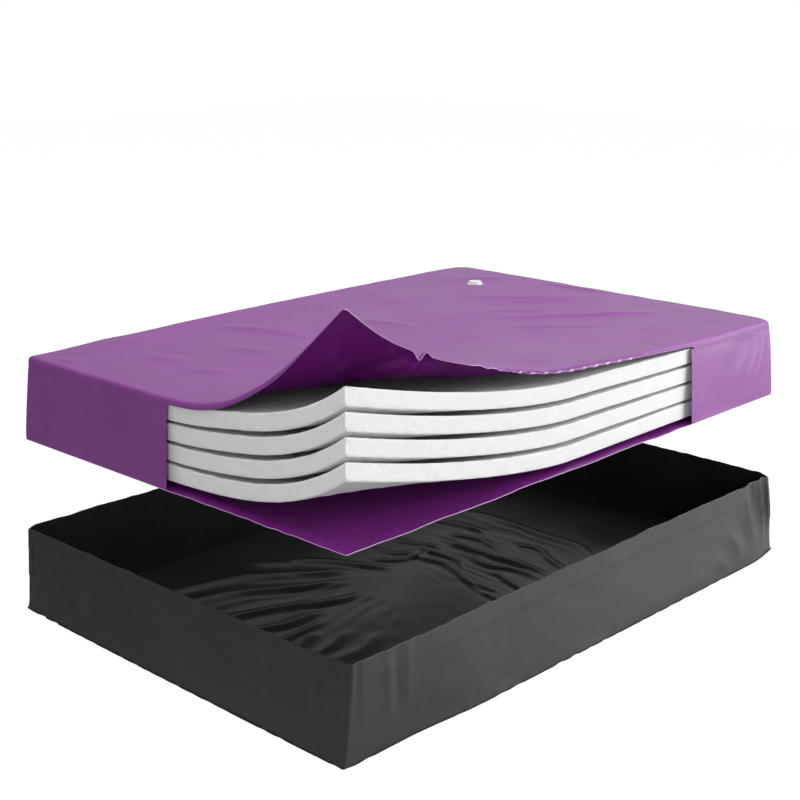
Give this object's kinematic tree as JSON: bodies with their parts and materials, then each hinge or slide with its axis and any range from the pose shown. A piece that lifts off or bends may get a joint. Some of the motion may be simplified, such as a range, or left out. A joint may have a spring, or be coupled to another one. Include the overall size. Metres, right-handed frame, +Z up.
{
  "type": "waterbed mattress with safety liner",
  "caption": "Vinyl water mattress with a layered fleece core, cut open and peeled back at one corner, raised over its open-topped stand-up safety liner.",
  "frame": {"origin": "on the ground under the middle of the liner, the centre of the bounding box's bottom", "axes": "+X along the 2.0 m side, +Y along the 1.4 m side, +Z up; the cut corner is at -X, -Y and the filling valve near +X, +Y"},
  "size_m": [2, 1.4, 1.0893],
  "materials": {
    "purple_vinyl": "soft satin vinyl film, purple, darker on the inside",
    "black_liner_film": "glossy black liner film with laid-in wrinkles",
    "white_fleece": "white bonded polyester fleece with a fibrous cut edge",
    "white_plastic": "white moulded valve plastic",
    "tie_webbing": "off-white flat webbing"
  },
  "bodies": {
    "liner": {"liner_floor_sheet": "black_liner_film", "liner_front_wall": "black_liner_film", "liner_right_wall": "black_liner_film", "liner_back_wall": "black_liner_film", "liner_left_wall": "black_liner_film", "liner_near_corner_fold": "black_liner_film", "liner_right_corner_fold": "black_liner_film", "liner_back_corner_fold": "black_liner_film", "liner_left_corner_fold": "black_liner_film", "liner_front_lap_strip": "black_liner_film"},
    "mattress": {"mattress_bottom_sheet": "purple_vinyl", "mattress_top_sheet": "purple_vinyl", "mattress_front_wall": "purple_vinyl", "mattress_right_wall": "purple_vinyl", "mattress_back_wall": "purple_vinyl", "mattress_left_wall": "purple_vinyl", "right_corner_patch": "purple_vinyl", "back_corner_patch": "purple_vinyl", "left_corner_patch": "purple_vinyl", "fibre_layer_1": "white_fleece", "fibre_layer_2": "white_fleece", "fibre_layer_3": "white_fleece", "fibre_layer_4": "white_fleece", "right_corner_tie": "tie_webbing", "back_corner_tie": "tie_webbing", "left_corner_tie": "tie_webbing", "valve_neck": "white_plastic"},
    "plug": {"valve_plug": "white_plastic"},
    "cap": {"valve_cap": "white_plastic"}
  },
  "joints": [
    {"name": "mattress_lower", "type": "slide", "parent": "liner", "child": "mattress", "axis": [0, 0, -1], "range_m": [0, 0.5365]},
    {"name": "plug_pull", "type": "slide", "parent": "mattress", "child": "plug", "axis": [0, 0, 1], "range_m": [0, 0.035]},
    {"name": "cap_turn", "type": "hinge", "parent": "plug", "child": "cap", "pos_m": [0.73, 0.395, 0.795], "axis": [0, 0, 1], "range_deg": [0, 540]}
  ]
}
